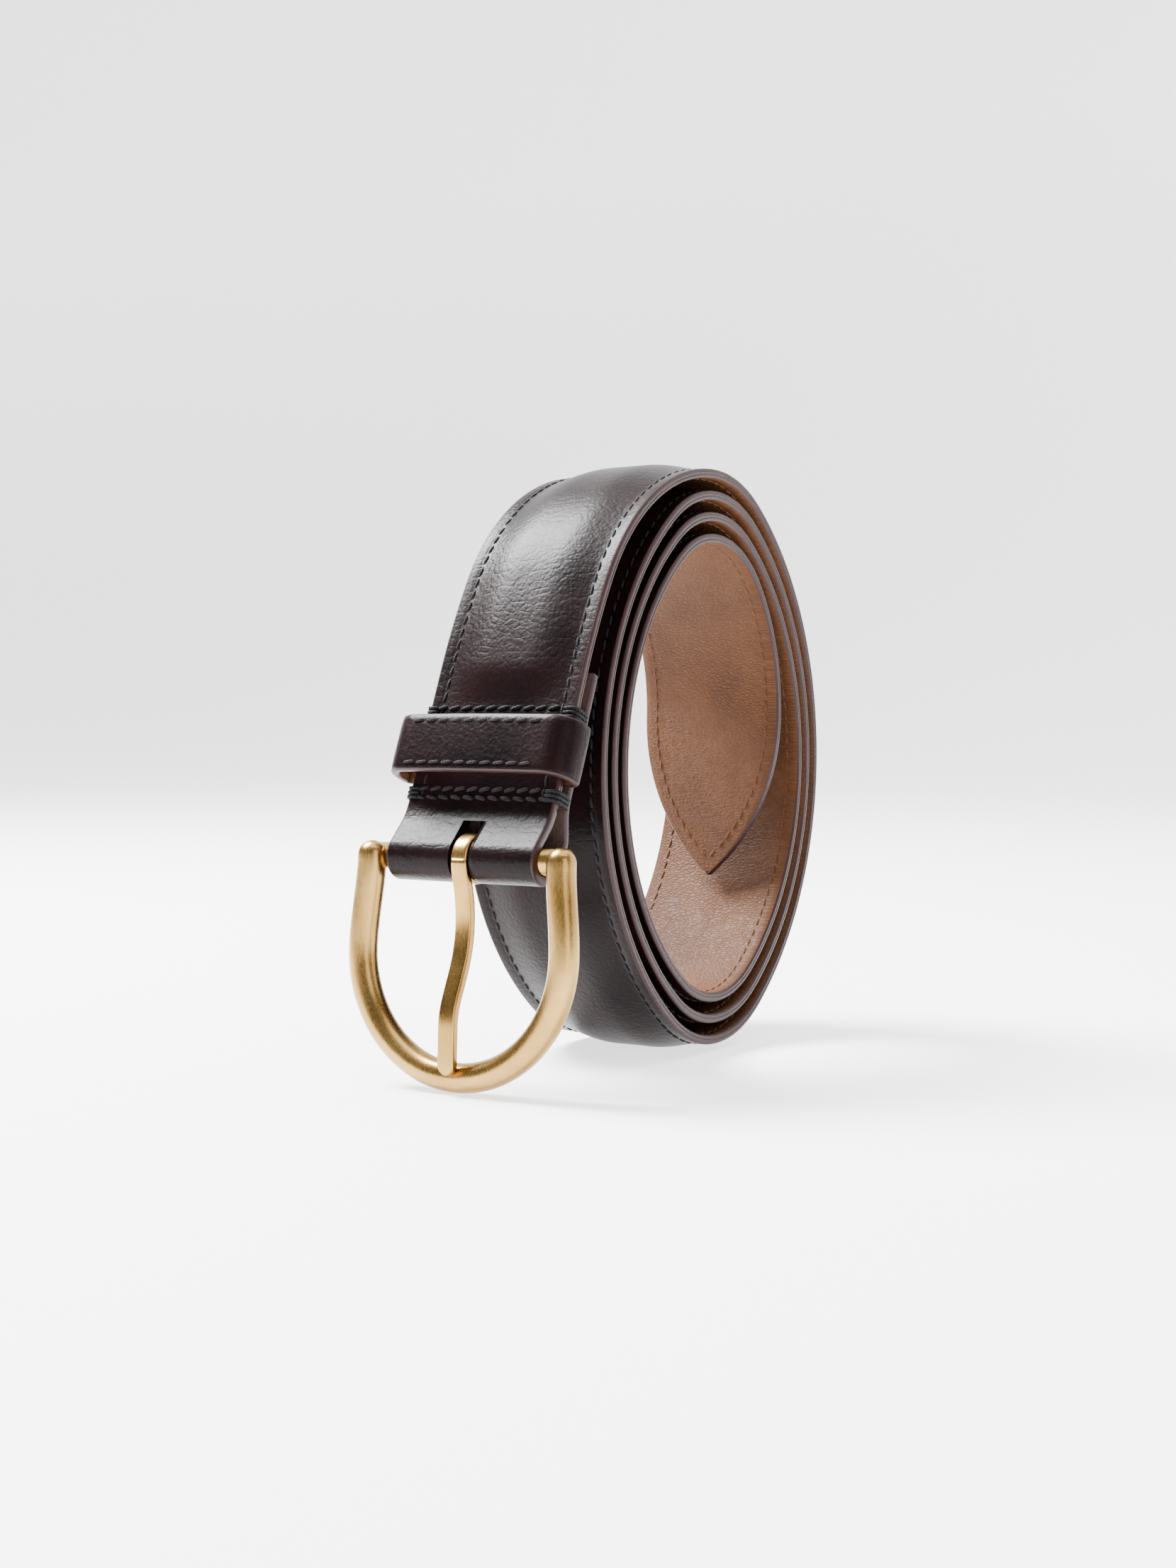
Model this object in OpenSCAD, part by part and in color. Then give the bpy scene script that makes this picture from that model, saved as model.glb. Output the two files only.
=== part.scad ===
// Coiled leather belt standing on its rim, with the buckle hanging at the front.
// +Z is up, +X runs along the buckle's bar, and the buckle faces -Y.

/* [Strap] */
// Width of the strap
strap_w = 35; // [33:0.5:36]
// Thickness of the strap at its painted edges
edge_t = 2; // [1.8:0.1:2.1]
// Rise of the padded middle above the edges
crown_h = 1.6; // [1:0.1:1.7]
// Thickness of the grain leather
cover_t = 1.1; // [0.9:0.1:1.2]
// Distance from the edge to the line of stitches
stitch_inset = 3; // [2.6:0.1:3.4]
// Width of the thread
thread_w = 0.6; // [0.4:0.1:0.8]
// Height of the thread above the leather
thread_h = 0.2; // [0.15:0.05:0.25]
// Length of the pointed tip
tip_len = 36; // [30:1:38]
// Radius of a punched hole
hole_r = 2.1; // [1.8:0.1:2.3]
// Distance from one punched hole to the next
hole_pitch = 25; // [24:0.5:26]
// Distance from the tip to the nearest punched hole
hole_start = 95; // [90:1:100]

/* [Coil] */
// Distance of the coil's middle behind the origin
coil_y = 12.5; // [10:0.1:16]
// Radius of the top bend on the outermost turn
bend_r = 33.8; // [33.5:0.1:34.5]
// Radius of the front and back of the outermost turn
side_r = 69.9; // [69:0.1:71]
// Shrinkage of the tight bends in each turn
bend_step = 3.2; // [3:0.1:3.4]
// Shrinkage of the front and back in each turn
side_step = 4.9; // [4.8:0.1:5]
// Angle that each tight bend covers
bend_span = 71; // [70:0.5:72]

/* [Buckle end] */
// Gap between the strap and its turned-back end
turn_gap = 0.8; // [0.7:0.1:1]
// Length of the straight, flat part behind the keeper
keeper_run = 21.5; // [21:0.5:23]
// Width of the slot for the prong
slot_w = 5; // [4.6:0.1:5.4]

/* [Keeper] */
// Width of the keeper, along the strap
keeper_w = 12; // [11:0.5:12.5]
// Space for the strap's tail under the keeper
keeper_gap = 4.2; // [4:0.1:4.6]
// Space beside the strap inside the keeper
keeper_side = 2; // [1.5:0.1:2.4]
// Thickness of the keeper
keeper_t = 2; // [1.8:0.1:2.2]

/* [Buckle] */
// Radius of the heel bar
bar_r = 2.6; // [2.4:0.1:2.6]
// Radius of the frame's rod
rod_r = 2.9; // [2.7:0.1:3]
// Radius of the frame's round bottom, to the middle of the rod
bow_r = 24; // [23.5:0.1:24.5]
// Length of the frame's arms, from the bar to the round bottom
arm_len = 18.2; // [17.6:0.1:18.3]
// Distance from the buckle's middle to an arm at the bar
heel_x = 22.6; // [22.2:0.1:23]
// Distance of the frame's plane in front of the bar
frame_front = 2.4; // [2:0.1:2.6]
// Lean of the hanging buckle, outwards at the bottom
lean = 4; // [3:0.5:5]
// Sideways play of the buckle on the strap
play = 0; // [-0.6:0.1:0.6]
// Sideways place of the prong on the strap
prong_x = 0.2; // [-0.3:0.1:0.3]
// Width of the prong
prong_w = 3.8; // [3.4:0.1:4]
// Thickness of the prong
prong_t = 2.2; // [2:0.1:2.4]

/* [Hidden] */
$fn = 96;
half_w = strap_w / 2;
fit = 0.1; // radial clearance of the wrap and the prong's eye on the bar
wrap_r = bar_r + fit + edge_t;
eye_r = bar_r + fit + prong_t;
grain = "#3a2226";
tan_leather = "#9a6a44";
black_thread = "#18161a";
brown_thread = "#7a4a28";
brass = "#c8a468";

// The strap's run is a list of steps along its outer face, from the turned-back end, round the
// bar, up the front and round the coil to the tip. A step is [radius, turn in degrees], where a
// negative turn bends the other way, or [length, 0] where the strap is straight.
turn_back = [[26, 0], [10, -22], [3, 0], [6, 40], [3.2 + 2 * turn_gap, 0], [wrap_r, 184]];
front = [[4.7, 0], [12, -22], [keeper_run, 0], [7, 0], [150, 8], [50, 60]];
half_bend = bend_span / 2;
half_turns = 6;
coil = [for (i = [0 : 2 * half_turns]) let (turns = i / 4)
    i == 0 ? [bend_r, half_bend]
    : i % 2 == 1 ? [side_r - side_step * turns, 180 - bend_span]
    : [bend_r - bend_step * turns, i == 2 * half_turns ? half_bend : bend_span]];
tail = [[26, 50], [44, 42], [37, 0]];
run = concat(turn_back, front, coil, tail);
wrap_step = len(turn_back) - 1;
keeper_step = len(turn_back) + 2;
crown_step = keeper_step + 1;
top_step = len(turn_back) + len(front);
tip_step = len(run) - 1;
first_heading = 248;

// Where a step ends: [y, z, heading]
function bend_centre(at, step) = let (r = sign(step[1]) * step[0])
    [at[0] + r * sin(at[2]), at[1] - r * cos(at[2])];
function advance(at, step) = step[1] == 0
    ? [at[0] + step[0] * cos(at[2]), at[1] + step[0] * sin(at[2]), at[2]]
    : let (c = bend_centre(at, step), r = sign(step[1]) * step[0], heading = at[2] - step[1])
        [c[0] - r * sin(heading), c[1] + r * cos(heading), heading];
function walk(at, steps, i) = i == 0 ? at : advance(walk(at, steps, i - 1), steps[i - 1]);

// The run is placed so that its top is over the coil's middle and its bottom is on the ground.
loose_top = walk([0, 0, first_heading], run, top_step);
loose_bottom = bend_centre(walk([0, 0, first_heading], run, top_step + 2), run[top_step + 2])[1]
    - run[top_step + 2][0];
start = [coil_y - loose_top[0], crown_h - loose_bottom, first_heading];
starts = [for (i = [0 : len(run)]) walk(start, run, i)];
bar_at = bend_centre(starts[wrap_step], run[wrap_step]);

// The run is cut into short pieces, so that each section is [y, z, heading, distance gone].
max_turn = 8;
function step_length(step) = step[1] == 0 ? step[0] : step[0] * abs(step[1]) * PI / 180;
function part_of(step, share) = step[1] == 0 ? [step[0] * share, 0] : [step[0], step[1] * share];
function pieces(i) = max(1, ceil(abs(run[i][1]) / max_turn));
lengths = [for (step = run) step_length(step)];
function gone(i) = i == 0 ? 0 : gone(i - 1) + lengths[i - 1];
function section(i, share) = concat(share == 0 ? starts[i] : advance(starts[i], part_of(run[i], share)),
    [gone(i) + share * lengths[i]]);
function sections(first, last) = concat(
    [for (i = [first : last]) for (k = [0 : pieces(i) - 1]) section(i, k / pieces(i))],
    [section(last, 1)]);
whole_length = gone(len(run));

// Where the strap is at a distance back from its tip
function from_tip(distance, i) = distance <= lengths[i]
    ? section(i, 1 - distance / lengths[i])
    : from_tip(distance - lengths[i], i - 1);

// Puts the plane of the run upright, with the strap's width along X
module upright() rotate([90, 0, 90]) children();

// Outline of the strap seen from its edge, between two heights above its outer face
function off_face(at, v) = [at[0] - v * sin(at[2]), at[1] + v * cos(at[2])];
module ribbon(path, low, high) {
    polygon(concat([for (at = path) off_face(at, high)],
        [for (i = [len(path) - 1 : -1 : 0]) off_face(path[i], low)]));
}
module layer(path, low, high, width) {
    upright() linear_extrude(width, center = true) ribbon(path, low, high);
}
function trimmed(path, from, past) = [for (i = [from : len(path) - 1 - past]) path[i]];

// Half of the pointed tip's width at a distance from its point, inside an inset
arch_r = (tip_len * tip_len + half_w * half_w) / strap_w;
function tip_half(back, inset) = sqrt(pow(arch_r - inset, 2) - pow(tip_len - back, 2)) - arch_r + half_w;
tip_cuts = [for (k = [0 : 17]) k * (tip_len - 1) / 17];

// Works in the plane of the tip: X across it and Y back from its point, with Z away from its face
module on_tip() {
    at = starts[tip_step + 1];
    upright() translate([at[0], at[1], 0]) rotate([0, 90, at[2] + 90]) children();
}
module past_tip() {
    for (side = [-1, 1])
        on_tip() translate([0, 0, -3]) linear_extrude(4) polygon(concat(
            [[0, -1]], [for (back = tip_cuts) [side * tip_half(back, 0), back]],
            [[side * (half_w + 1), tip_len - 1], [side * (half_w + 1), -1]]));
}
function seam_line(inset) = let (first = tip_len - sqrt(pow(arch_r - inset, 2) - pow(arch_r - half_w, 2)))
    [for (k = [0 : 12]) let (back = first + k * (tip_len - first) / 12) [tip_half(back, inset), back]];

// A thread along each margin, and round the pointed tip
module margin_threads(low, high) {
    for (side = [-1, 1])
        translate([side * (half_w - stitch_inset), 0, 0])
            layer(sections(keeper_step, tip_step - 1), low, high, thread_w);
    outer = seam_line(stitch_inset - thread_w / 2);
    inner = seam_line(stitch_inset + thread_w / 2);
    n = len(outer) - 1;
    on_tip() translate([0, 0, low]) linear_extrude(high - low) polygon(concat(
        [[-outer[n][0], run[tip_step][0] - 0.1]], [for (i = [n : -1 : 0]) [-outer[i][0], outer[i][1]]], outer,
        [[outer[n][0], run[tip_step][0] - 0.1], [inner[n][0], run[tip_step][0] - 0.1]],
        [for (i = [n : -1 : 0]) inner[i]], [for (p = inner) [-p[0], p[1]]],
        [[-inner[n][0], run[tip_step][0] - 0.1]]));
}

// Punched holes
module punched_holes() {
    for (i = [0 : 4]) {
        at = from_tip(hole_start + i * hole_pitch, tip_step);
        upright() translate([at[0], at[1], 0]) rotate([0, 90, at[2] + 90])
            translate([0, 0, -edge_t - 0.3]) cylinder(r = hole_r, h = edge_t + crown_h + 0.5);
    }
}

// Slot in the wrapped end, for the prong
module prong_slot() {
    translate([-slot_w / 2, bar_at[0] - wrap_r - 3, bar_at[1] - wrap_r - 1])
        cube([slot_w, 2 * wrap_r + 6, 2 * wrap_r + 3.2]);
}

module flat_cover() {
    path = sections(0, tip_step);
    upright() linear_extrude(strap_w, center = true) polygon(concat(
        [for (at = path) off_face(at, 0)],
        [for (i = [len(path) - 1 : -1 : 0]) if (path[i][3] >= gone(keeper_step)) off_face(path[i], -cover_t)],
        [for (i = [len(path) - 1 : -1 : 0]) if (path[i][3] <= gone(keeper_step)) off_face(path[i], -edge_t)]));
}
module strap_cover() color(grain) difference() {
    union() {
        flat_cover();
        layer(trimmed(sections(crown_step, tip_step - 1), 0, 0), -0.6, 0.55 * crown_h, 24);
        layer(trimmed(sections(crown_step, tip_step - 1), 1, 1), -0.3, crown_h, 17);
    }
    past_tip();
    punched_holes();
    prong_slot();
}

module strap_lining() color(tan_leather) difference() {
    layer(sections(keeper_step, tip_step), -edge_t, -cover_t, strap_w);
    past_tip();
    punched_holes();
}

module edge_stitching() color(black_thread) margin_threads(0, thread_h);

module lining_stitching() color(brown_thread) margin_threads(-edge_t - thread_h, -edge_t);

module stitch_band(half) {
    translate([0, -half]) square([thread_h, 2 * half]);
}

// Places something on the outer face, at a distance along a step
module along(i, distance) {
    at = advance(starts[i], [distance, 0]);
    upright() translate([at[0], at[1], 0]) rotate([90, 0, at[2] + 90]) children();
}

cross_rows = [1, 2.6, 18.2, 19.8];
cross_half = half_w - 3.7;
module cross_stitching() color(black_thread) {
    for (distance = cross_rows) {
        along(keeper_step, distance) linear_extrude(thread_w) stitch_band(cross_half);
        along(0, step_length(run[0]) - 2 - distance)
            linear_extrude(thread_w) stitch_band(cross_half);
    }
}

// The keeper is a rounded loop round the strap, sewn in under the turned-back end
keeper_at = 4.8;
keeper_back = -edge_t - turn_gap - 0.1;
keeper_low = -edge_t - thread_h - 0.05;
corner_turns = [0 : 15 : 90];
module loop_outline(low, high, half, corner) {
    round_off = [for (a = corner_turns) [high - corner * (1 - cos(a)), half - corner * (1 - sin(a))]];
    polygon(concat([[low, half]], [for (i = [len(round_off) - 1 : -1 : 0]) round_off[i]],
        [for (p = round_off) [p[0], -p[1]]], [[low, -half]]));
}
keeper_in = half_w + keeper_side;
keeper_split = keeper_t * 0.6;
module keeper_loop() {
    along(keeper_step, keeper_at) linear_extrude(keeper_w) children();
}
module keeper_cover() color(grain) keeper_loop() difference() {
    loop_outline(keeper_back, keeper_gap + keeper_t, keeper_in + keeper_t, 5);
    loop_outline(keeper_low, keeper_gap + keeper_t - keeper_split,
        keeper_in + keeper_t - keeper_split, 4);
}
module keeper_lining() color(tan_leather) keeper_loop() difference() {
    loop_outline(keeper_low, keeper_gap + keeper_t - keeper_split,
        keeper_in + keeper_t - keeper_split, 4);
    loop_outline(keeper_low - 0.1, keeper_gap, keeper_in, 3);
}
module keeper_stitching() color(black_thread) {
    for (distance = [1.5, keeper_w - 1.5 - thread_w])
        along(keeper_step, keeper_at + distance) linear_extrude(thread_w)
            translate([keeper_gap + keeper_t, 0]) stitch_band(half_w - 1);
}

// The buckle's own frame: the bar is along X through the origin, and the frame hangs from it
module hang(x = play) translate([x, bar_at[0], bar_at[1]]) rotate([-lean, 0, 0]) children();

bow_z = -arm_len;
arm_tilt = atan((bow_r - heel_x) / arm_len);
module frame_rod() {
    translate([0, 0, bow_z]) rotate([90, 0, 0]) rotate(180)
        rotate_extrude(angle = 180) translate([bow_r, 0]) circle(rod_r);
    for (side = [-1, 1]) {
        translate([side * bow_r, 0, bow_z]) sphere(rod_r);
        translate([side * bow_r, 0, bow_z]) rotate([0, -side * arm_tilt, 0])
            cylinder(r = rod_r, h = arm_len / cos(arm_tilt));
        translate([side * heel_x, 0, 0]) sphere(rod_r);
    }
}
module buckle_frame() color(brass) hang() difference() {
    union() {
        translate([0, -frame_front, 0]) frame_rod();
        for (side = [-1, 1]) {
            translate([side * heel_x, 0, 0]) rotate([90, 0, 0]) cylinder(r = rod_r, h = frame_front);
            translate([side * heel_x, 0, 0]) sphere(rod_r);
        }
    }
    bar_body();
    prong_seat();
}

module bar_body() {
    rotate([0, 90, 0]) cylinder(r = bar_r, h = 2 * heel_x, center = true);
}
module heel_bar() color(brass) hang() bar_body();

// The prong's middle line, from the eye down to the frame, in the buckle's own frame
prong_steps = [[12, -20], [26, 40], [5.5, 0], [14, -22], [7.3, 0]];
prong_from = [-eye_r + prong_t / 2, 0, -90];
prong_tip = walk(prong_from, prong_steps, len(prong_steps));
prong_path = concat([for (i = [0 : len(prong_steps) - 1]) let (at = walk(prong_from, prong_steps, i))
    for (k = [0 : 5]) k == 0 ? at : advance(at, part_of(prong_steps[i], k / 6))], [prong_tip]);
module prong_shank(grow) {
    layer(prong_path, -prong_t / 2 - grow, prong_t / 2 + grow, prong_w + 2 * grow);
    translate([0, prong_tip[0], prong_tip[1]]) rotate([90, 0, 0])
        cylinder(r = prong_w / 2 + grow, h = prong_t + 2 * grow, center = true);
}
module prong_seat() translate([prong_x - play, 0, 0]) prong_shank(0.15);
module prong() color(brass) hang(prong_x) difference() {
    union() {
        prong_shank(0);
        rotate([0, 90, 0]) cylinder(r = eye_r, h = prong_w, center = true);
    }
    rotate([0, 90, 0]) cylinder(r = bar_r + fit, h = prong_w + 1, center = true);
}

strap_cover();
strap_lining();
edge_stitching();
lining_stitching();
cross_stitching();
keeper_cover();
keeper_lining();
keeper_stitching();
buckle_frame();
heel_bar();
prong();
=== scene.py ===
import math

import bpy
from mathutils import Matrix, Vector, noise


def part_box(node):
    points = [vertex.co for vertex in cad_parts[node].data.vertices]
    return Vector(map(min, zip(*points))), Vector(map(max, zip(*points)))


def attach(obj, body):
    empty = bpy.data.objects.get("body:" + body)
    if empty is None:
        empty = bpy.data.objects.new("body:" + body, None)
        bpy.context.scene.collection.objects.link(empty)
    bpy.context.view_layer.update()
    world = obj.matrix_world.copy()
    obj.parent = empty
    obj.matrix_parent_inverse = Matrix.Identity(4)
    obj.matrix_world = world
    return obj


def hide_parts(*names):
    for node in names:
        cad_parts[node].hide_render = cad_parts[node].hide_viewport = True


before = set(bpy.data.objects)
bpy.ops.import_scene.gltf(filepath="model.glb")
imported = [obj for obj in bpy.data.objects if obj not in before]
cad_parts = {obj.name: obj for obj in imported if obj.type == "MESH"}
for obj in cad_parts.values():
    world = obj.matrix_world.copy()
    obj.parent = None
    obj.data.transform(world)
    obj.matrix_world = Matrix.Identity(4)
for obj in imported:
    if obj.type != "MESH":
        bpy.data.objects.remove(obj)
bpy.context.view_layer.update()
mm = 0.001


class Sock:
    # A socket that takes ordinary arithmetic

    def __init__(self, graph, socket):
        self.graph = graph
        self.socket = socket

    def maths(self, operation, other, flipped=False):
        pair = (other, self) if flipped else (self, other)
        node = self.graph.tree.nodes.new("ShaderNodeMath")
        node.operation = operation
        for slot, value in zip(node.inputs, pair):
            self.graph.feed(slot, value)
        return Sock(self.graph, node.outputs[0])

    def __add__(self, other):
        return self.maths("ADD", other)

    def __radd__(self, other):
        return self.maths("ADD", other, True)

    def __mul__(self, other):
        return self.maths("MULTIPLY", other)

    def __rmul__(self, other):
        return self.maths("MULTIPLY", other, True)


class Graph:
    # A material and its nodes

    def __init__(self, name):
        self.material = bpy.data.materials.new(name)
        self.material.use_nodes = True
        self.tree = self.material.node_tree
        self.shader = self.tree.nodes["Principled BSDF"]

    def feed(self, slot, value):
        if isinstance(value, Sock):
            self.tree.links.new(value.socket, slot)
        else:
            slot.default_value = value

    def add(self, kind, settings, values, output=0):
        node = self.tree.nodes.new("ShaderNode" + kind)
        for name, value in settings.items():
            setattr(node, name, value)
        for name, value in values.items():
            self.feed(node.inputs[name], value)
        return Sock(self, node.outputs[output])

    def surface(self, onStrap):
        if onStrap:
            return self.add("UVMap", {"uv_map": "along"}, {})
        return self.add("TexCoord", {}, {}, "Object")

    def stretched(self, vector, scale):
        return self.add("Mapping", {}, {"Vector": vector, "Scale": scale})

    def noise(self, vector, scale, detail=4, rough=0.55):
        return self.add("TexNoise", {}, {"Vector": vector, "Scale": scale, "Detail": detail,
                                         "Roughness": rough})

    def cells(self, vector, scale, feature="F1"):
        return self.add("TexVoronoi", {"feature": feature}, {"Vector": vector, "Scale": scale})

    def between(self, value, low, high, outLow=0, outHigh=1):
        return self.add("MapRange", {}, {"Value": value, "From Min": low, "From Max": high,
                                         "To Min": outLow, "To Max": outHigh})

    def mix(self, share, first, second):
        node = self.tree.nodes.new("ShaderNodeMix")
        node.data_type = "RGBA"
        self.feed(node.inputs["Factor"], share)
        self.feed(node.inputs[6], first)  # 6, 7 and output 2 are the colour sockets
        self.feed(node.inputs[7], second)
        return Sock(self, node.outputs[2])

    def bump(self, height, strength, distance):
        normal = self.add("Bump", {}, {"Height": height, "Strength": strength, "Distance": distance})
        self.feed(self.shader.inputs["Normal"], normal)

    def finish(self, **values):
        for name, value in values.items():
            self.feed(self.shader.inputs[name.replace("_", " ")], value)
        return self.material


grainLook = {
    "dark": (0.0022, 0.0011, 0.0014, 1), "warm": (0.0085, 0.0026, 0.0032, 1),
    "worn": (0.015, 0.006, 0.007, 1), "pebble": 1250, "crease": 620, "wrinkle": (900, 160, 1),
    "rough": (0.28, 0.4), "specular": 0.075, "relief": 0.38, "depth": 0.00018}


def makeGrain():
    graph = Graph("grainLeather")
    uv = graph.surface(True)
    mottle = graph.noise(uv, 38, 5)
    fine = graph.noise(uv, 900, 6, 0.7)
    pebble = graph.cells(graph.stretched(uv, (0.9, 1.15, 1)), grainLook["pebble"])
    crease = graph.cells(graph.stretched(uv, (0.8, 0.45, 1)), grainLook["crease"], "DISTANCE_TO_EDGE")
    wrinkle = graph.noise(graph.stretched(uv, grainLook["wrinkle"]), 1, 5, 0.6)
    tone = graph.mix(graph.between(mottle, 0.35, 0.7), grainLook["dark"], grainLook["warm"])
    worn = graph.between(fine * graph.between(mottle, 0.4, 0.75), 0.36, 0.6, 0, 0.6)
    colour = graph.mix(worn, tone, grainLook["worn"])
    height = pebble * -0.55 + fine * 0.35 + wrinkle * 0.6 + graph.between(crease, 0, 0.12) * 0.25
    graph.bump(height, grainLook["relief"], grainLook["depth"])
    rough = graph.between(fine + mottle, 0.7, 1.3, *grainLook["rough"])
    return graph.finish(Base_Color=colour, Roughness=rough, Specular_IOR_Level=grainLook["specular"])


# The darkest colour is painted shade for the lining's crease lines
liningLook = {
    "pale": (0.105, 0.039, 0.0125, 1), "deep": (0.055, 0.018, 0.0052, 1),
    "creaseShade": (0.03, 0.011, 0.004, 1), "crease": 1500, "stretch": (1, 0.5, 1),
    "rough": (0.5, 0.68), "specular": 0.2, "relief": 0.5, "depth": 0.0002}


def makeLining():
    graph = Graph("liningLeather")
    uv = graph.surface(True)
    mottle = graph.noise(uv, 60, 6)
    creases = graph.cells(graph.stretched(uv, liningLook["stretch"]), liningLook["crease"],
                          "DISTANCE_TO_EDGE")
    fine = graph.noise(graph.stretched(uv, liningLook["stretch"]), liningLook["crease"], 5, 0.7)
    shade = graph.between(mottle + fine * 0.5, 0.5, 1.05)
    colour = graph.mix(shade, liningLook["deep"], liningLook["pale"])
    # Painted shade: the colour is darkened along the crease lines
    colour = graph.mix(graph.between(creases, 0, 0.12, 0.3, 0), colour, liningLook["creaseShade"])
    graph.bump(graph.between(creases, 0, 0.22) + fine * 0.5, liningLook["relief"], liningLook["depth"])
    rough = graph.between(fine, 0.3, 0.7, *liningLook["rough"])
    return graph.finish(Base_Color=colour, Roughness=rough, Specular_IOR_Level=liningLook["specular"])


edgeLook = {
    "deep": (0.0095, 0.0018, 0.0022, 1), "pale": (0.026, 0.0068, 0.0075, 1), "streak": (140, 900, 1),
    "rough": (0.4, 0.55), "specular": 0.25, "relief": 0.35, "depth": 0.00015}


def makeEdge():
    graph = Graph("edgePaint")
    uv = graph.surface(True)
    streak = graph.noise(graph.stretched(uv, edgeLook["streak"]), 1, 5, 0.6)
    fine = graph.noise(uv, 1600, 4)
    colour = graph.mix(graph.between(streak + fine * 0.4, 0.45, 0.9), edgeLook["deep"], edgeLook["pale"])
    graph.bump(streak + fine * 0.4, edgeLook["relief"], edgeLook["depth"])
    rough = graph.between(fine, 0.3, 0.7, *edgeLook["rough"])
    return graph.finish(Base_Color=colour, Roughness=rough, Specular_IOR_Level=edgeLook["specular"])


fibreLook = {
    "deep": (0.014, 0.006, 0.004, 1), "pale": (0.06, 0.026, 0.015, 1), "stretch": (500, 2600, 1),
    "rough": (0.7, 0.9), "relief": 0.8, "depth": 0.0003}


def makeFibre():
    graph = Graph("cutLeather")
    uv = graph.surface(True)
    fibres = graph.noise(graph.stretched(uv, fibreLook["stretch"]), 1, 6, 0.7)
    colour = graph.mix(graph.between(fibres, 0.35, 0.65), fibreLook["deep"], fibreLook["pale"])
    graph.bump(fibres, fibreLook["relief"], fibreLook["depth"])
    return graph.finish(Base_Color=colour, Roughness=graph.between(fibres, 0.3, 0.7, *fibreLook["rough"]))


threadLook = {
    "blackDeep": (0.0015, 0.0013, 0.0015, 1), "blackPale": (0.011, 0.0095, 0.011, 1),
    "brownDeep": (0.045, 0.016, 0.006, 1), "brownPale": (0.12, 0.05, 0.02, 1),
    "twist": 900, "fuzz": 4200, "rough": (0.55, 0.8), "specular": 0.15, "relief": 0.6, "depth": 0.00012}


def makeThread(name, deep, pale):
    graph = Graph(name)
    uv = graph.surface(False)
    fuzz = graph.noise(uv, threadLook["fuzz"], 4, 0.7)
    twist = graph.add("TexWave", {"bands_direction": "DIAGONAL"},
                      {"Vector": uv, "Scale": threadLook["twist"], "Distortion": 2.5, "Detail": 2}, 1)
    colour = graph.mix(graph.between(fuzz + twist * 0.4, 0.4, 0.95), deep, pale)
    graph.bump(twist + fuzz * 0.6, threadLook["relief"], threadLook["depth"])
    rough = graph.between(fuzz, 0.3, 0.7, *threadLook["rough"])
    return graph.finish(Base_Color=colour, Roughness=rough, Specular_IOR_Level=threadLook["specular"])


brassLook = {
    "pale": (0.48, 0.3, 0.1, 1), "deep": (0.27, 0.15, 0.04, 1), "brush": (5200, 5200, 240),
    "rough": (0.22, 0.34), "relief": 0.22, "depth": 0.00006}


def makeBrass():
    graph = Graph("brushedBrass")
    uv = graph.surface(False)
    brush = graph.noise(graph.stretched(uv, brassLook["brush"]), 1, 5, 0.65)
    cloud = graph.noise(uv, 70, 4)
    speck = graph.noise(uv, 2600, 3, 0.7)
    tone = graph.between(cloud + brush * 0.35, 0.5, 0.95)
    colour = graph.mix(tone, brassLook["deep"], brassLook["pale"])
    graph.bump(brush + speck * 0.2, brassLook["relief"], brassLook["depth"])
    rough = graph.between(brush + cloud * 0.5, 0.5, 1.05, *brassLook["rough"])
    return graph.finish(Base_Color=colour, Roughness=rough, Metallic=1.0)


grain = makeGrain()
lining = makeLining()
edgePaint = makeEdge()
cutLeather = makeFibre()
blackThread = makeThread("blackThread", threadLook["blackDeep"], threadLook["blackPale"])
brownThread = makeThread("brownThread", threadLook["brownDeep"], threadLook["brownPale"])
brass = makeBrass()
print("materials made")

# The strap's run, in mm, from the turned-back end round the bar, up the front and round the coil to
# the tip. A step is a radius and a turn in degrees, or a length and 0 where the strap is straight.
strap = {
    "width": 35, "edge": 2.0, "cover": 1.1, "inset": 3.0, "tip": 36, "holeFrom": 95, "holePitch": 25,
    "holeCount": 5, "holeRadius": 2.1, "cutDepth": 6, "spacing": 1.3, "bendStep": 2.6}
coil = {"bend": 33.8, "side": 69.9, "bendShrink": 3.2, "sideShrink": 4.9, "bendSpan": 71, "quarters": 12}
firstHeading = 248
wrapRadius = 4.7  # the bar, its clearance and the strap's thickness
turnBack = [[26, 0], [10, -22], [3, 0], [6, 40], [4.8, 0], [wrapRadius, 184]]
frontLeg = [[4.7, 0], [12, -22], [21.5, 0], [7, 0], [150, 8], [50, 60]]
coilSteps = [[coil["bend"], coil["bendSpan"] / 2]]
for quarter in range(1, coil["quarters"] + 1):
    turns = quarter / 4
    if quarter % 2:
        coilSteps.append([coil["side"] - coil["sideShrink"] * turns, 180 - coil["bendSpan"]])
    else:
        span = coil["bendSpan"] / 2 if quarter == coil["quarters"] else coil["bendSpan"]
        coilSteps.append([coil["bend"] - coil["bendShrink"] * turns, span])
tailSteps = [[26, 50], [44, 42], [37, 0]]
runSteps = turnBack + frontLeg + coilSteps + tailSteps
wrapStep = len(turnBack) - 1
keeperStep = len(turnBack) + 2
half = strap["width"] / 2


def centreOf(at, step):
    radius = math.copysign(step[0], step[1])
    turn = math.radians(at[2])
    return at[0] + radius * math.sin(turn), at[1] - radius * math.cos(turn)


def advance(at, step):
    turn = math.radians(at[2])
    if step[1] == 0:
        return at[0] + step[0] * math.cos(turn), at[1] + step[0] * math.sin(turn), at[2]
    middle = centreOf(at, step)
    radius = math.copysign(step[0], step[1])
    heading = math.radians(at[2] - step[1])
    return middle[0] - radius * math.sin(heading), middle[1] + radius * math.cos(heading), at[2] - step[1]


def lengthOf(step):
    return step[0] if step[1] == 0 else step[0] * math.radians(abs(step[1]))


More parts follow.
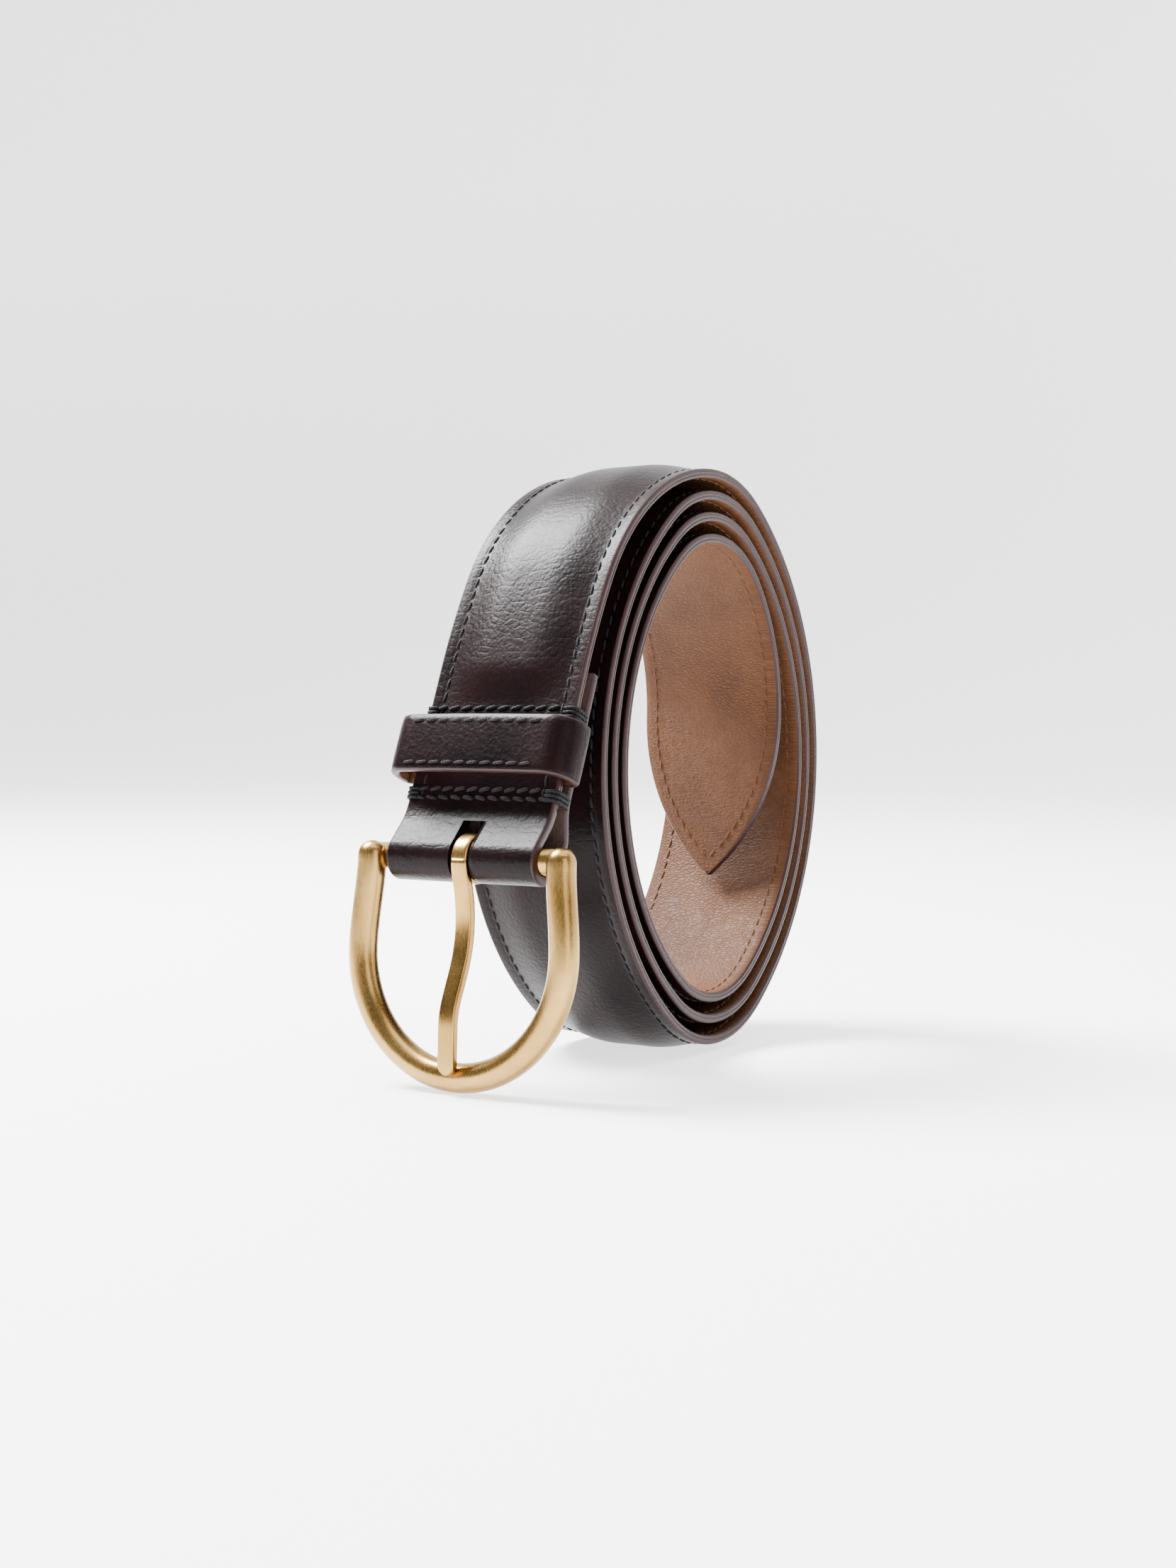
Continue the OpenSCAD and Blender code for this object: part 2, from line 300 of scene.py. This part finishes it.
def partOf(step, share):
    return [step[0] * share, 0] if step[1] == 0 else [step[0], step[1] * share]


barLow, barHigh = (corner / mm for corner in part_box("heel_bar"))
barAt = (barLow + barHigh) / 2
loose = (0, 0, firstHeading)
for step in runSteps[:wrapStep]:
    loose = advance(loose, step)
wrapMiddle = centreOf(loose, runSteps[wrapStep])
here = (barAt.y - wrapMiddle[0], barAt.z - wrapMiddle[1], firstHeading)
run = []
startsAt = []  # distance gone where each step starts
gone = 0
for step in runSteps:
    startsAt.append(gone)
    pieces = max(1, math.ceil(lengthOf(step) / strap["spacing"]),
                 math.ceil(abs(step[1]) / strap["bendStep"]))
    for k in range(pieces):
        share = k / pieces
        place = here if k == 0 else advance(here, partOf(step, share))
        run.append((*place, gone + share * lengthOf(step)))
    here = advance(here, step)
    gone += lengthOf(step)
run.append((*here, gone))
wholeLength = gone
keeperFrom = startsAt[keeperStep]
crownFrom = startsAt[keeperStep + 1]
archRadius = (strap["tip"] ** 2 + half ** 2) / strap["width"]


def placeAt(distance):
    low = 0
    high = len(run) - 1
    while high - low > 1:
        middle = (low + high) // 2
        if run[middle][3] <= distance:
            low = middle
        else:
            high = middle
    before = run[low]
    after = run[high]
    share = (distance - before[3]) / max(1e-9, after[3] - before[3])
    return tuple(before[i] + (after[i] - before[i]) * share for i in range(3)) + (distance,)


def onStrap(at, u, v):
    # u goes across the strap, and v stands off its grain side
    turn = math.radians(at[2])
    return Vector((u, at[0] - v * math.sin(turn), at[1] + v * math.cos(turn))) * mm


def outOf(at):
    return (onStrap(at, 0, 1) - onStrap(at, 0, 0)).normalized()


def along(at):
    turn = math.radians(at[2])
    return Vector((0, math.cos(turn), math.sin(turn)))


def halfAt(distance, inset=0):
    toTip = wholeLength - distance
    if toTip >= strap["tip"]:
        return half - inset
    reach = (archRadius - inset) ** 2 - (strap["tip"] - toTip) ** 2
    return max(0.12, math.sqrt(max(0, reach)) - archRadius + half)


def ease(x):
    share = max(0, min(1, x))
    return share * share * (3 - 2 * share)


crown = {"rise": 1.6, "startsOver": 9, "margin": 3.9, "shoulder": 9.5, "power": 1.15,
         "seamDepth": 0.2, "seamWidth": 0.7, "dips": 0.09}


def crownAt(distance, u):
    # Rise of the padded middle, with a soft valley along the seam
    edge = halfAt(distance)
    inner = max(0.01, edge - crown["margin"])
    rise = crown["rise"] * ease((distance - crownFrom + 1) / crown["startsOver"]) * ease(inner / 10)
    share = max(0, min(1, (inner - abs(u)) / crown["shoulder"]))
    swell = rise * math.sin(share * math.pi / 2) ** crown["power"]
    seam = crown["seamDepth"] * ease((distance - keeperFrom) / 3) * ease(inner / 4)
    valley = seam * math.exp(-((abs(u) - edge + strap["inset"]) / crown["seamWidth"]) ** 2)
    dips = crown["dips"] * noise.noise(Vector((distance * 0.045, u * 0.12, 3.1))) * min(1, rise)
    return swell - valley + dips


def finishMesh(name, points, faces, uvs, kinds, materials):
    mesh = bpy.data.meshes.new(name)
    mesh.from_pydata(points, [], faces)
    layer = mesh.uv_layers.new(name="along")
    for corner in mesh.loops:
        layer.data[corner.index].uv = uvs[corner.vertex_index]
    for material in materials:
        mesh.materials.append(material)
    for polygon, kind in zip(mesh.polygons, kinds):
        polygon.material_index = kind
        polygon.use_smooth = True
    mesh.validate()
    mesh.update()
    obj = bpy.data.objects.new(name, mesh)
    bpy.context.scene.collection.objects.link(obj)
    return obj


def plainMesh(name, points, faces, material):
    return finishMesh(name, points, faces, [(0, 0)] * len(points), [0] * len(faces), [material])


def skinOver(name, loops, uvLoops, kindOf, materials, closed=False):
    # A skin over a row of loops. kindOf gives a face's material, with -1 for the two end caps
    size = len(loops[0])
    points = [p for loop in loops for p in loop]
    uvs = [p for loop in uvLoops for p in loop]
    faces = []
    kinds = []
    count = len(loops)
    for k in range(count if closed else count - 1):
        first = k * size
        second = (k + 1) % count * size
        for i in range(size):
            j = (i + 1) % size
            faces.append((first + i, first + j, second + j, second + i))
            kinds.append(kindOf(i))
    if not closed:
        faces.append(tuple(range(size - 1, -1, -1)))
        faces.append(tuple((count - 1) * size + i for i in range(size)))
        kinds += [kindOf(-1), kindOf(-1)]
    return finishMesh(name, points, faces, uvs, kinds, materials)


coverTop = 42  # steps across the grain side
coverSide = 5  # points down each edge


def coverLoop(at):
    distance = at[3]
    edge = halfAt(distance)
    folded = distance < keeperFrom
    base = -strap["edge"] if folded else -strap["cover"]
    rounding = min(0.45, edge * 0.3)
    top = []
    for k in range(coverTop + 1):
        lean = math.sin((k / coverTop - 0.5) * math.pi * 0.9)
        u = (edge - rounding) * lean / math.sin(0.45 * math.pi)
        top.append((u, crownAt(distance, u)))
    side = [(edge - rounding * 0.3, -0.13), (edge, -0.42), (edge + 0.03, -0.75),
            (edge, base + 0.25 if folded else base), (edge - (0.3 if folded else 0.02), base)]
    return top + side + [(-u, v) for u, v in reversed(side)]


def coverKind(i):
    # 0 is the grain side, 1 the painted edges and ends, 2 the cut underside
    if 0 <= i < coverTop:
        return 0
    return 2 if i == coverTop + coverSide else 1


edgeFrom = 16  # beyond this distance from the middle, the pattern runs on down the edge


def surfaceLoops(path, outline):
    loops = []
    uvLoops = []
    for at in path:
        shape = outline(at)
        loops.append([onStrap(at, u, v) for u, v in shape])
        uvLoops.append([(at[3] * mm, (u + (v if abs(u) > edgeFrom else 0)) * mm) for u, v in shape])
    return loops, uvLoops


loops, uvLoops = surfaceLoops(run, coverLoop)
cover = skinOver("strapCover", loops, uvLoops, coverKind, [grain, edgePaint, cutLeather])
liningSide = 4  # points down each edge
liningHalf = 10  # steps from an edge to the middle


def liningLoop(at):
    edge = halfAt(at[3])
    base = -strap["edge"]
    low = [(edge, -strap["cover"] - 0.01), (edge + 0.03, -1.4), (edge - 0.02, -1.7), (edge - 0.3, base)]
    under = []
    for k in range(1, 2 * liningHalf):
        u = (edge - 0.3) * (1 - k / liningHalf)
        under.append((u, base + 0.05 * noise.noise(Vector((at[3] * 0.08, u * 0.2, 9)))))
    return low + under + [(-u, v) for u, v in reversed(low)]


def liningKind(i):
    # 0 is the open side, 1 the painted edges, the ends and the glued side
    return 0 if liningSide - 1 <= i <= liningSide + 2 * liningHalf - 2 else 1


liningPath = [at for at in run if at[3] >= keeperFrom - 0.01]
loops, uvLoops = surfaceLoops(liningPath, liningLoop)
liningPiece = skinOver("strapLining", loops, uvLoops, liningKind, [lining, edgePaint])
print("strap made")

# Holes in the tail, and the slot for the prong in the fold
foldSlot = {"width": 4.9, "depth": 15.4, "height": 12.6, "shift": 0.2, "lift": 1.1}
cutterParts = []
for k in range(strap["holeCount"]):
    at = placeAt(wholeLength - strap["holeFrom"] - strap["holePitch"] * k)
    normal = onStrap(at, 0, 1) - onStrap(at, 0, 0)
    bpy.ops.mesh.primitive_cylinder_add(vertices=40, radius=strap["holeRadius"] * mm,
                                        depth=strap["cutDepth"] * mm, location=onStrap(at, 0, -0.3))
    hole = bpy.context.object
    hole.rotation_mode = "QUATERNION"
    hole.rotation_quaternion = normal.to_track_quat("Z", "Y")
    cutterParts.append(hole)
slotAt = Vector((foldSlot["shift"], barAt.y, barAt.z + foldSlot["lift"])) * mm
bpy.ops.mesh.primitive_cube_add(size=1, location=slotAt)
slotBox = bpy.context.object
slotBox.scale = (foldSlot["width"] * mm, foldSlot["depth"] * mm, foldSlot["height"] * mm)
cutterParts.append(slotBox)
bpy.ops.object.select_all(action="DESELECT")
for part in cutterParts:
    part.select_set(True)
bpy.context.view_layer.objects.active = slotBox
bpy.ops.object.join()
cutter = bpy.context.object
cutter.data.materials.clear()
for target in (cover, liningPiece):
    cut = target.modifiers.new("cut", "BOOLEAN")
    cut.operation = "DIFFERENCE"
    cut.object = cutter
    cut.solver = "EXACT"
    bpy.context.view_layer.objects.active = target
    bpy.ops.object.modifier_apply(modifier="cut")
bpy.data.objects.remove(cutter)
print("holes cut")

threadSides = 8
stitchRings = [(-0.5, 0.25), (-0.42, 0.75), (-0.2, 1), (0.2, 1), (0.42, 0.75), (0.5, 0.25)]
stitchFlat = 0.8


def capsule(points, faces, middle, axis, other, up, length, radius):
    # One stitch, whose ends sink into the leather
    base = len(points)
    for share, wide in stitchRings:
        for k in range(threadSides):
            turn = 2 * math.pi * k / threadSides
            sag = -abs(share) ** 2 * radius * 2.2
            points.append(middle + axis * share * length + other * math.cos(turn) * radius * wide
                          + up * (math.sin(turn) * radius * wide * stitchFlat + sag))
    joinRings(faces, base, len(stitchRings))


def joinRings(faces, base, count):
    sides = threadSides
    for r in range(count - 1):
        for k in range(sides):
            j = (k + 1) % sides
            faces.append((base + r * sides + k, base + r * sides + j,
                          base + (r + 1) * sides + j, base + (r + 1) * sides + k))
    faces.append(tuple(base + k for k in range(sides - 1, -1, -1)))
    faces.append(tuple(base + (count - 1) * sides + k for k in range(sides)))


stitch = {"pitch": 2.9, "length": 2.4, "radius": 0.3, "slant": 7, "brownRadius": 0.25, "step": 0.4,
          "tipGap": 3.2, "over": 0.12, "under": 0.06}


def seamPath(side):
    # Places along one margin, which turn in round the pointed tip
    found = []
    distance = keeperFrom + 1
    while distance < wholeLength - stitch["tipGap"]:
        u = halfAt(distance, strap["inset"])
        if u <= 0.3:
            break
        found.append((distance, side * u))
        distance += stitch["step"]
    return found


def marginSeam(name, material, under, radius):
    points = []
    faces = []
    for side in (-1, 1):
        path = seamPath(side)
        walked = 0
        wanted = stitch["pitch"] * 0.5
        for (d0, u0), (d1, u1) in zip(path, path[1:]):
            piece = math.hypot(d1 - d0, u1 - u0)
            if walked + piece >= wanted:
                at = placeAt((d0 + d1) / 2)
                u = (u0 + u1) / 2
                height = -strap["edge"] - stitch["under"] if under else crownAt(at[3], u) + stitch["over"]
                up = outOf(at) * (-1 if under else 1)
                ahead = (along(at) * (d1 - d0) + Vector((u1 - u0, 0, 0))).normalized()
                lean = math.radians(stitch["slant"] * side)
                axis = ahead * math.cos(lean) + up.cross(ahead).normalized() * math.sin(lean)
                capsule(points, faces, onStrap(at, u, height), axis, up.cross(axis), up,
                        stitch["length"] * mm, radius * mm)
                wanted += stitch["pitch"]
            walked += piece
    return plainMesh(name, points, faces, material)


edgeSeam = marginSeam("edgeStitches", blackThread, False, stitch["radius"])
liningSeam = marginSeam("liningStitches", brownThread, True, stitch["brownRadius"])


def tube(points, faces, path, radius):
    base = len(points)
    for k, p in enumerate(path):
        ahead = (path[min(k + 1, len(path) - 1)] - path[max(k - 1, 0)]).normalized()
        across = ahead.cross(Vector((0.31, 0.2, 0.93))).normalized()
        up = ahead.cross(across)
        for s in range(threadSides):
            turn = 2 * math.pi * s / threadSides
            points.append(p + (across * math.cos(turn) + up * math.sin(turn)) * radius)
    joinRings(faces, base, len(path))


crossRows = {
    "pairs": [(1.0, 2.8), (18.2, 20.0)], "pitch": 3.0, "length": 2.7, "radius": 0.42, "height": 0.15,
    "from": -15.0, "stagger": 0.6, "to": 15.4, "leans": (-0.2, 0.28), "behindFrom": 24, "gap": 0.3}
whipping = {"shifts": (0.2, 1.1, 2.0), "radius": 0.4}
whipLine = [(15.2, 0.1), (16.4, 0.38), (17.4, 0.25), (17.85, -0.4), (17.9, -1.4), (17.85, -2.9),
            (17.8, -4.0), (17.4, -4.75), (16.2, -4.95), (15.2, -4.8)]
points = []
faces = []
for pair in crossRows["pairs"]:
    for row, distance in enumerate(pair):
        front = placeAt(keeperFrom + distance + crossRows["gap"])
        behind = placeAt(crossRows["behindFrom"] - distance - crossRows["gap"])
        for place in (front, behind):
            up = outOf(place)
            u = crossRows["from"] + row * crossRows["stagger"]
            while u < crossRows["to"]:
                middle = onStrap(place, u, crossRows["height"])
                axis = (Vector((1, 0, 0)) + along(place) * crossRows["leans"][row]).normalized()
                capsule(points, faces, middle, axis, up.cross(axis), up,
                        crossRows["length"] * mm, crossRows["radius"] * mm)
                u += crossRows["pitch"]
    for side in (-1, 1):
        for shift in whipping["shifts"]:
            at = placeAt(keeperFrom + pair[0] + shift)
            tube(points, faces, [onStrap(at, side * u, v) for u, v in whipLine], whipping["radius"] * mm)
crossSeam = plainMesh("crossStitches", points, faces, blackThread)
print("stitches made")

keeper = {
    "from": 4.8, "width": 12, "gap": 4.2, "side": 2.0, "thick": 2.0, "corner": 4.4, "bulge": 0.25,
    "foot": 1.2, "drop": 0.42, "lapFrom": 6, "lapPoints": 11}
keeperMiddle = keeperFrom + keeper["from"] + keeper["width"] / 2


def keeperOutline():
    # Middle line of the loop: from one end behind the strap, round the front, to the other end
    reach = half + keeper["side"] + keeper["thick"] / 2
    front = keeper["gap"] + keeper["thick"] / 2
    behind = -strap["edge"] - keeper["drop"]
    foot = keeper["foot"]
    corner = keeper["corner"]
    line = [(-keeper["lapFrom"] - k, behind) for k in range(keeper["lapPoints"])]
    line += [(-reach + foot - foot * math.sin(turn), behind + foot - foot * math.cos(turn))
             for turn in [i * math.pi / 10 for i in range(1, 6)]]
    line += [(-reach, behind + foot + (front - corner - behind - foot) * k / 3) for k in (1, 2)]
    line += [(-reach + corner - corner * math.cos(turn), front - corner + corner * math.sin(turn))
             for turn in [i * math.pi / 18 for i in range(0, 10)]]
    line += [(-reach + corner + (reach - corner) * k / 14,
              front + keeper["bulge"] * math.sin(math.pi * k / 28)) for k in range(1, 15)]
    return line + [(-u, v) for u, v in reversed(line[:-1])]


keeperFace = 12  # points across each face of the leather
keeperShape = []
for k in range(2 * keeperFace):
    outside = k < keeperFace
    share = (k if outside else 2 * keeperFace - 1 - k) / (keeperFace - 1)
    swell = 0.14 * (1 - (2 * share - 1) ** 4)
    keeperShape.append(((share - 0.5) * (keeper["width"] - 0.7), (1 if outside else -1) * (0.86 + swell)))
rimReach = keeper["width"] / 2
rim = [(rimReach - 0.06, 0.5), (rimReach, 0), (rimReach - 0.06, -0.5)]
keeperShape = keeperShape[:keeperFace] + rim + keeperShape[keeperFace:] + [(-a, b) for a, b in reversed(rim)]
keeperInner = keeperFace + len(rim)


def keeperKind(i):
    # 0 is the grain side, 1 the painted edges and ends, 2 the lining
    if 0 <= i < keeperFace - 1:
        return 0
    return 2 if keeperInner <= i < keeperInner + keeperFace - 1 else 1


keeperLine = keeperOutline()
lastOne = len(keeperLine) - 1
loops = []
uvLoops = []
travelled = 0
for k, (u, v) in enumerate(keeperLine):
    before = Vector(keeperLine[max(0, k - 1)])
    after = Vector(keeperLine[min(lastOne, k + 1)])
    ahead = (after - before).normalized()
    normal = Vector((-ahead.y, ahead.x))
    travelled += (Vector((u, v)) - before).length
    thin = 0.33 + 0.67 * ease((min(k, lastOne - k) - keeper["lapPoints"]) / 5)
    loop = []
    uvs = []
    for across, out in keeperShape:
        at = placeAt(keeperMiddle + across)
        loop.append(onStrap(at, u + normal.x * out * thin, v + normal.y * out * thin))
        uvs.append(((travelled + 2000) * mm, (across + out * 0.6) * mm))  # 2000 is off the strap's pattern
    loops.append(loop)
    uvLoops.append(uvs)
keeperPiece = skinOver("keeperLoop", loops, uvLoops, keeperKind, [grain, edgePaint, lining])

keeperRows = {"row": 4.4, "from": -14.6, "to": 15, "pitch": 3.1, "length": 2.6, "radius": 0.33,
              "lean": 0.12, "lift": 0.02, "bow": 44}
points = []
faces = []
for across in (-keeperRows["row"], keeperRows["row"]):
    at = placeAt(keeperMiddle + across)
    up = outOf(at)
    axis = (Vector((1, 0, 0)) + along(at) * keeperRows["lean"]).normalized()
    u = keeperRows["from"]
    while u < keeperRows["to"]:
        lift = keeper["bulge"] * math.cos(math.pi * u / keeperRows["bow"])
        middle = onStrap(at, u, keeper["gap"] + keeper["thick"] + lift + keeperRows["lift"])
        capsule(points, faces, middle, axis, up.cross(axis), up,
                keeperRows["length"] * mm, keeperRows["radius"] * mm)
        u += keeperRows["pitch"]
keeperSeam = plainMesh("keeperStitches", points, faces, blackThread)
print("keeper made")

# The buckle is drawn in the hanging frame's own coordinates, with the bar's middle at 0
buckle = {
    "bar": 2.6, "barReach": 22.4, "rod": 2.9, "bow": 24, "arm": 18.2, "heel": 22.6, "front": 2.4,
    "lean": 4, "notch": 0.35, "notchReach": 2.2, "fit": 0.1, "prongWidth": 3.8, "prongThick": 2.2,
    "prongShift": 0.2}
rodSides = 40
leanTurn = math.radians(-buckle["lean"])


def hang(x, y, z):
    turnedY = y * math.cos(leanTurn) - z * math.sin(leanTurn)
    turnedZ = y * math.sin(leanTurn) + z * math.cos(leanTurn)
    return Vector((x, barAt.y + turnedY, barAt.z + turnedZ)) * mm


def brassPiece(name, loops, closed=False):
    uvLoops = [[(k * mm, s * mm) for s in range(len(loop))] for k, loop in enumerate(loops)]
    return skinOver(name, loops, uvLoops, lambda i: 0, [brass], closed)


def rodLoops(path, radii):
    made = []
    for k, p in enumerate(path):
        ahead = (path[min(k + 1, len(path) - 1)] - path[max(k - 1, 0)]).normalized()
        across = ahead.cross(Vector((0, -1, 0))).normalized()
        front = across.cross(ahead)
        made.append([p + (across * math.cos(turn) * radii[k][0] + front * math.sin(turn) * radii[k][1])
                     for turn in [2 * math.pi * s / rodSides for s in range(rodSides)]])
    return made


framePath = []
frameRadii = []
rod = buckle["rod"]
for k in range(9):  # the rod's round end
    turn = k / 8 * math.pi / 2
    framePath.append((-buckle["heel"], rod * math.cos(turn)))
    frameRadii.append((max(0.05, rod * math.sin(turn)), max(0.05, rod * math.sin(turn))))
for k in range(1, 16):  # one arm
    share = k / 16
    spread = (buckle["bow"] - buckle["heel"]) * ease(share)
    framePath.append((-buckle["heel"] - spread, -buckle["arm"] * share))
    frameRadii.append((rod, rod))
armPath = list(framePath)
armRadii = list(frameRadii)
bowSteps = 48
for k in range(bowSteps + 1):
    turn = math.pi * k / bowSteps
    notch = math.exp(-((k - bowSteps / 2) / buckle["notchReach"]) ** 4)
    framePath.append((-buckle["bow"] * math.cos(turn), -buckle["arm"] - buckle["bow"] * math.sin(turn)))
    frameRadii.append((rod, rod - buckle["notch"] * notch))
framePath += [(-x, z) for x, z in reversed(armPath)]
frameRadii += list(reversed(armRadii))
centreLine = [Vector((x, -buckle["front"], z)) for x, z in framePath]
frameLoops = [[hang(*p) for p in loop] for loop in rodLoops(centreLine, frameRadii)]
framePiece = brassPiece("buckleFrame", frameLoops)
barLoops = []
for x in (-buckle["barReach"], -11, 0, 11, buckle["barReach"]):
    barLoops.append([hang(x, buckle["bar"] * math.cos(turn), buckle["bar"] * math.sin(turn))
                     for turn in [2 * math.pi * s / rodSides for s in range(rodSides)]])
barPiece = brassPiece("heelBar", barLoops)
print("frame made")

prongSteps = [[12, -20], [26, 40], [5.5, 0], [14, -22], [7.3, 0]]
prongEnd = 8  # sections round the tip
eyeSections = 48
eyeRadius = buckle["bar"] + buckle["fit"] + buckle["prongThick"]
at = (-eyeRadius + buckle["prongThick"] / 2, 0, -90)
prongLine = [at]
for step in prongSteps:
    pieces = max(4, math.ceil(lengthOf(step)))
    for k in range(1, pieces + 1):
        prongLine.append(advance(at, partOf(step, k / pieces)))
    at = prongLine[-1]


def prongSection(y, z, heading, wide=buckle["prongWidth"], thick=buckle["prongThick"]):
    # Rounded rectangle across the prong
    turn = math.radians(heading)
    outward = Vector((0, -math.sin(turn), math.cos(turn)))
    loop = []
    corner = min(0.75, thick * 0.42, wide * 0.3)
    for cornerX, cornerY, first in ((1, 1, 0), (-1, 1, 90), (-1, -1, 180), (1, -1, 270)):
        for k in range(6):
            turn = math.radians(first + 90 * k / 5)
            across = cornerX * (wide / 2 - corner) + corner * math.cos(turn)
            out = cornerY * (thick / 2 - corner) + corner * math.sin(turn)
            p = Vector((0, y, z)) + outward * out
            loop.append(hang(buckle["prongShift"] + across, p.y, p.z))
    return loop


loops = [prongSection(*place) for place in prongLine]
y, z, heading = prongLine[-1]
for k in range(1, prongEnd + 1):
    turn = k / prongEnd * math.pi / 2
    reach = buckle["prongWidth"] / 2 * math.sin(turn)
    wide = max(0.25, buckle["prongWidth"] * math.cos(turn))
    thick = buckle["prongThick"] * (0.45 + 0.55 * math.cos(turn))
    loops.append(prongSection(y + reach * math.cos(math.radians(heading)),
                              z + reach * math.sin(math.radians(heading)), heading, wide, thick))
prongShank = brassPiece("prongShank", loops)
ringMiddle = buckle["bar"] + buckle["fit"] + buckle["prongThick"] / 2
loops = []
for k in range(eyeSections):
    turn = 2 * math.pi * k / eyeSections
    loops.append(prongSection(-ringMiddle * math.cos(turn), ringMiddle * math.sin(turn),
                              90 - math.degrees(turn)))
prongEye = brassPiece("prongEye", loops, closed=True)
print("prong made")

for obj, body, slotName, nodes in (
        (cover, "strap", "grain_leather", ["strap_cover"]),
        (liningPiece, "strap", "lining_leather", ["strap_lining"]),
        (edgeSeam, "strap", "black_thread", ["edge_stitching"]),
        (liningSeam, "strap", "brown_thread", ["lining_stitching"]),
        (crossSeam, "strap", "black_thread", ["cross_stitching"]),
        (keeperPiece, "strap", "grain_leather", ["keeper_cover", "keeper_lining"]),
        (keeperSeam, "strap", "black_thread", ["keeper_stitching"]),
        (framePiece, "buckle", "brass", ["buckle_frame"]),
        (barPiece, "buckle", "brass", ["heel_bar"]),
        (prongShank, "prong", "brass", ["prong"]),
        (prongEye, "prong", "brass", [])):
    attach(obj, body)
    if nodes:
        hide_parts(*nodes)

# Floor with a curved backdrop, in metres
studio = {
    "pale": (0.8, 0.8, 0.8, 1), "paler": (0.83, 0.83, 0.825, 1), "glow": 1.8, "world": 0.3,
    "side": 9, "front": -6, "bendFrom": 1.6, "bend": 1.0, "height": 4}
points = [(-studio["side"], studio["front"], 0), (studio["side"], studio["front"], 0),
          (studio["side"], studio["bendFrom"], 0), (-studio["side"], studio["bendFrom"], 0)]
profile = []
for k in range(1, 13):
    turn = k * math.pi / 24
    profile.append((studio["bendFrom"] + studio["bend"] * math.sin(turn),
                    studio["bend"] - studio["bend"] * math.cos(turn)))
profile.append((studio["bendFrom"] + studio["bend"], studio["height"]))
faces = [(0, 1, 2, 3)]
lastPair = (3, 2)
for y, z in profile:
    points += [(-studio["side"], y, z), (studio["side"], y, z)]
    nextPair = (len(points) - 2, len(points) - 1)
    faces.append((lastPair[0], lastPair[1], nextPair[1], nextPair[0]))
    lastPair = nextPair
floorGraph = Graph("paleFloor")
floorNoise = floorGraph.noise(floorGraph.surface(False), 3, 2)
floorGraph.finish(Base_Color=floorGraph.mix(floorNoise, studio["pale"], studio["paler"]), Roughness=0.75,
                  Emission_Color=(1, 1, 1, 1), Emission_Strength=studio["glow"])
floor = plainMesh("floor", [Vector(p) for p in points], faces, floorGraph.material)
world = bpy.data.worlds.new("studio")
bpy.context.scene.world = world
world.use_nodes = True
world.node_tree.nodes["Background"].inputs["Color"].default_value = (1, 1, 1, 1)
world.node_tree.nodes["Background"].inputs["Strength"].default_value = studio["world"]

lights = {
    "keyLight": {"place": (-0.62, -0.1, 0.95), "target": (0, 0, 0.08), "size": (0.5, 0.5), "power": 85.0},
    "topLight": {"place": (0.1, 0.1, 1.1), "target": (0, 0, 0), "size": (1.2, 1.0), "power": 13.0},
    "fillLight": {"place": (0.95, -0.5, 0.35), "target": (0, 0, 0.05), "size": (0.5, 0.8), "power": 4.0}}
for name, light in lights.items():
    data = bpy.data.lights.new(name, "AREA")
    data.shape = "RECTANGLE"
    data.size, data.size_y = light["size"]
    data.energy = light["power"]
    lamp = bpy.data.objects.new(name, data)
    lamp.location = light["place"]
    lamp.rotation_mode = "QUATERNION"
    lamp.rotation_quaternion = (Vector(light["target"]) - Vector(light["place"])).to_track_quat("-Z", "Y")
    bpy.context.scene.collection.objects.link(lamp)

shot = {"place": (236.0, -374.9, 72.6), "azimuth": 33, "pitch": 1.88, "lens": 47.2, "sensor": 36}
cameraData = bpy.data.cameras.new("camera")
cameraData.lens = shot["lens"]
cameraData.sensor_width = shot["sensor"]
cameraData.clip_start = 0.01
camera = bpy.data.objects.new("camera", cameraData)
camera.location = Vector(shot["place"]) * mm
camera.rotation_euler = (math.radians(90 - shot["pitch"]), 0, math.radians(shot["azimuth"]))
bpy.context.scene.collection.objects.link(camera)
bpy.context.scene.camera = camera

print("scene ready")
